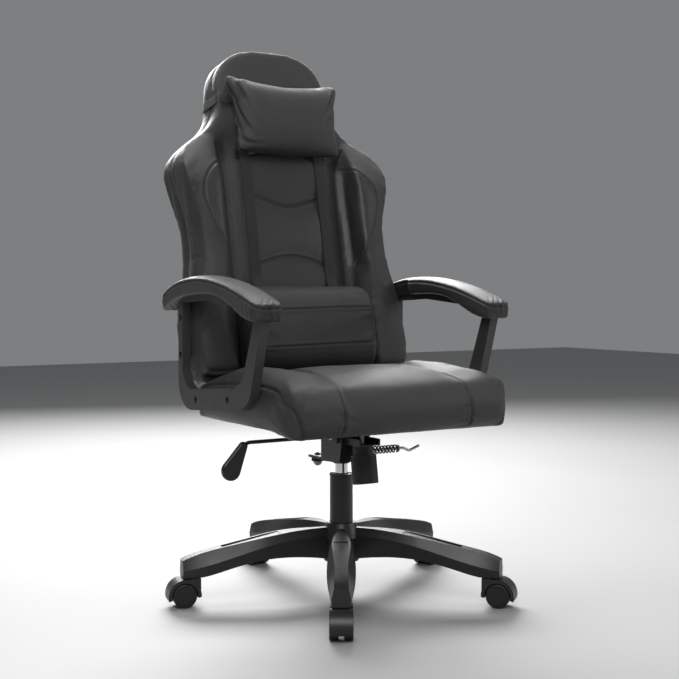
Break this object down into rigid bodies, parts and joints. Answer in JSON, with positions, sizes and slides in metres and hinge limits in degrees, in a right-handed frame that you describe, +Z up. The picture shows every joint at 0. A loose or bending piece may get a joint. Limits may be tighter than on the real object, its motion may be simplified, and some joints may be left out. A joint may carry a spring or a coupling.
{
  "type": "gaming chair",
  "caption": "High-backed gaming chair with headrest and lumbar pillows, loop arms, tilting seat, gas lift and a five-star caster base.",
  "frame": {"origin": "on the floor, on the swivel axis of the gas-lift column", "axes": "+Z up, the chair faces -Y, the sitter's right is -X"},
  "size_m": [0.7358, 0.746, 1.2304],
  "materials": {
    "nylon_black": "satin",
    "arm_nylon": "satin",
    "caster_nylon": "satin",
    "wheel_nylon": "matte",
    "knob_plastic": "satin",
    "gloss_black_plastic": "gloss",
    "guide_plastic": "matte",
    "painted_steel": "satin",
    "chrome": "polished",
    "bright_steel": "satin",
    "zinc_steel": "satin",
    "spring_steel": "satin",
    "bolt_black": "satin",
    "rubber_black": "matte",
    "plywood": "matte",
    "cover_fabric": "matte",
    "leather_black": "satin",
    "leather_smooth": "satin",
    "webbing": "matte"
  },
  "bodies": {
    "base": {"star_base": "nylon_black", "column_tube": "painted_steel", "column_bush": "guide_plastic"},
    "piston": {"piston_rod": "bright_steel", "thrust_bearing": "bright_steel"},
    "mechanism": {"gas_cylinder": "chrome", "mechanism_housing": "painted_steel", "axle_bushes": "guide_plastic", "stop_bolt": "zinc_steel", "stop_buffer": "rubber_black", "lock_spring": "spring_steel", "tension_spring": "spring_steel"},
    "valve": {"valve_button": "bright_steel"},
    "lock": {"lock_rod": "bright_steel"},
    "lever": {"lever_rod": "painted_steel", "lever_paddle": "gloss_black_plastic"},
    "bolt": {"spring_bolt": "bright_steel"},
    "washer": {"spring_washer": "bright_steel"},
    "knob": {"tension_knob": "knob_plastic"},
    "seat": {"tilt_axle": "bright_steel", "seat_plate": "painted_steel", "plate_bolts_and_nuts": "bright_steel", "seat_board": "plywood", "dust_cover": "cover_fabric", "seat_cushion": "leather_black", "back_frame": "painted_steel", "slot_trims": "knob_plastic", "headrest_pillow": "leather_smooth", "headrest_strap": "webbing", "lumbar_pillow": "leather_smooth", "arm_bolts": "bolt_black", "arm_brackets": "painted_steel", "back_cushion": "leather_black", "back_panel": "leather_black", "armrest_frame_right": "arm_nylon", "armrest_frame_left": "arm_nylon", "armrest_pad_right": "leather_black", "armrest_pad_left": "leather_black", "lumbar_straps": "webbing", "strap_sliders": "knob_plastic"},
    "caster_1": {"caster_1_hood": "caster_nylon", "caster_1_stem_and_axle": "bright_steel"},
    "caster_1_wheel_a": {"caster_1_wheel_a": "wheel_nylon"},
    "caster_1_wheel_b": {"caster_1_wheel_b": "wheel_nylon"},
    "caster_2": {"caster_2_hood": "caster_nylon", "caster_2_stem_and_axle": "bright_steel"},
    "caster_2_wheel_a": {"caster_2_wheel_a": "wheel_nylon"},
    "caster_2_wheel_b": {"caster_2_wheel_b": "wheel_nylon"},
    "caster_3": {"caster_3_hood": "caster_nylon", "caster_3_stem_and_axle": "bright_steel"},
    "caster_3_wheel_a": {"caster_3_wheel_a": "wheel_nylon"},
    "caster_3_wheel_b": {"caster_3_wheel_b": "wheel_nylon"},
    "caster_4": {"caster_4_hood": "caster_nylon", "caster_4_stem_and_axle": "bright_steel"},
    "caster_4_wheel_a": {"caster_4_wheel_a": "wheel_nylon"},
    "caster_4_wheel_b": {"caster_4_wheel_b": "wheel_nylon"},
    "caster_5": {"caster_5_hood": "caster_nylon", "caster_5_stem_and_axle": "bright_steel"},
    "caster_5_wheel_a": {"caster_5_wheel_a": "wheel_nylon"},
    "caster_5_wheel_b": {"caster_5_wheel_b": "wheel_nylon"}
  },
  "joints": [
    {"name": "swivel", "type": "hinge", "parent": "base", "child": "piston", "pos_m": [0, 0, 0], "axis": [0, 0, 1], "continuous": true},
    {"name": "height", "type": "slide", "parent": "piston", "child": "mechanism", "axis": [0, 0, 1], "range_m": [-0.015, 0.085]},
    {"name": "tilt", "type": "hinge", "parent": "mechanism", "child": "seat", "pos_m": [0, -0.03, 0.345], "axis": [-1, 0, 0], "range_deg": [0, 14], "stiffness_Nm_per_rad": 120, "springref_deg": -20.05, "deforming": ["tension_spring"]},
    {"name": "bolt_rise", "type": "slide", "parent": "mechanism", "child": "bolt", "axis": [0, 0.1564, 0.9877], "range_m": [0, 0.013]},
    {"name": "washer_rise", "type": "slide", "parent": "bolt", "child": "washer", "axis": [0, 0.1564, 0.9877], "range_m": [-0.002, 0.004]},
    {"name": "tension_knob_turn", "type": "hinge", "parent": "washer", "child": "knob", "pos_m": [0, -0.084, 0.332], "axis": [0, 0.1564, 0.9877], "range_deg": [-360, 720]},
    {"name": "lock_slide", "type": "slide", "parent": "mechanism", "child": "lock", "axis": [-1, 0, 0], "range_m": [0, 0.012], "deforming": ["lock_spring"]},
    {"name": "lever_lift", "type": "hinge", "parent": "lock", "child": "lever", "pos_m": [-0.036, 0, 0.343], "axis": [0, 1, 0], "range_deg": [0, 5], "stiffness_Nm_per_rad": 3, "springref_deg": -17.19},
    {"name": "valve_press", "type": "slide", "parent": "mechanism", "child": "valve", "axis": [0, 0, -1], "range_m": [0, 0.0032]},
    {"name": "caster_1_swivel", "type": "hinge", "parent": "base", "child": "caster_1", "pos_m": [-0.17222, -0.27562, 0], "axis": [0, 0, 1], "continuous": true},
    {"name": "caster_1_roll_a", "type": "hinge", "parent": "caster_1", "child": "caster_1_wheel_a", "pos_m": [-0.18335, -0.29342, 0.025], "axis": [0.848, -0.5299, 0], "continuous": true},
    {"name": "caster_1_roll_b", "type": "hinge", "parent": "caster_1", "child": "caster_1_wheel_b", "pos_m": [-0.18335, -0.29342, 0.025], "axis": [0.848, -0.5299, 0], "continuous": true},
    {"name": "caster_2_swivel", "type": "hinge", "parent": "base", "child": "caster_2", "pos_m": [0.20891, -0.24896, 0], "axis": [0, 0, 1], "continuous": true},
    {"name": "caster_2_roll_a", "type": "hinge", "parent": "caster_2", "child": "caster_2_wheel_a", "pos_m": [0.2224, -0.26505, 0.025], "axis": [0.766, 0.6428, 0], "continuous": true},
    {"name": "caster_2_roll_b", "type": "hinge", "parent": "caster_2", "child": "caster_2_wheel_b", "pos_m": [0.2224, -0.26505, 0.025], "axis": [0.766, 0.6428, 0], "continuous": true},
    {"name": "caster_3_swivel", "type": "hinge", "parent": "base", "child": "caster_3", "pos_m": [0.30134, 0.12175, 0], "axis": [0, 0, 1], "continuous": true},
    {"name": "caster_3_roll_a", "type": "hinge", "parent": "caster_3", "child": "caster_3_wheel_a", "pos_m": [0.32081, 0.12961, 0.025], "axis": [-0.3746, 0.9272, 0], "continuous": true},
    {"name": "caster_3_roll_b", "type": "hinge", "parent": "caster_3", "child": "caster_3_wheel_b", "pos_m": [0.32081, 0.12961, 0.025], "axis": [-0.3746, 0.9272, 0], "continuous": true},
    {"name": "caster_4_swivel", "type": "hinge", "parent": "base", "child": "caster_4", "pos_m": [-0.02267, 0.32421, 0], "axis": [0, 0, 1], "continuous": true},
    {"name": "caster_4_roll_a", "type": "hinge", "parent": "caster_4", "child": "caster_4_wheel_a", "pos_m": [-0.02414, 0.34516, 0.025], "axis": [-0.9976, -0.0698, 0], "continuous": true},
    {"name": "caster_4_roll_b", "type": "hinge", "parent": "caster_4", "child": "caster_4_wheel_b", "pos_m": [-0.02414, 0.34516, 0.025], "axis": [-0.9976, -0.0698, 0], "continuous": true},
    {"name": "caster_5_swivel", "type": "hinge", "parent": "base", "child": "caster_5", "pos_m": [-0.31535, 0.07863, 0], "axis": [0, 0, 1], "continuous": true},
    {"name": "caster_5_roll_a", "type": "hinge", "parent": "caster_5", "child": "caster_5_wheel_a", "pos_m": [-0.33572, 0.08371, 0.025], "axis": [-0.2419, -0.9703, 0], "continuous": true},
    {"name": "caster_5_roll_b", "type": "hinge", "parent": "caster_5", "child": "caster_5_wheel_b", "pos_m": [-0.33572, 0.08371, 0.025], "axis": [-0.2419, -0.9703, 0], "continuous": true}
  ],
  "couplings": [
    {"joint": "bolt_rise", "follows": "tilt", "m_per_rad": 0.05},
    {"joint": "tension_knob_turn", "follows": "washer_rise", "rad_per_m": 3141},
    {"joint": "valve_press", "follows": "lever_lift", "m_per_rad": 0.036}
  ]
}
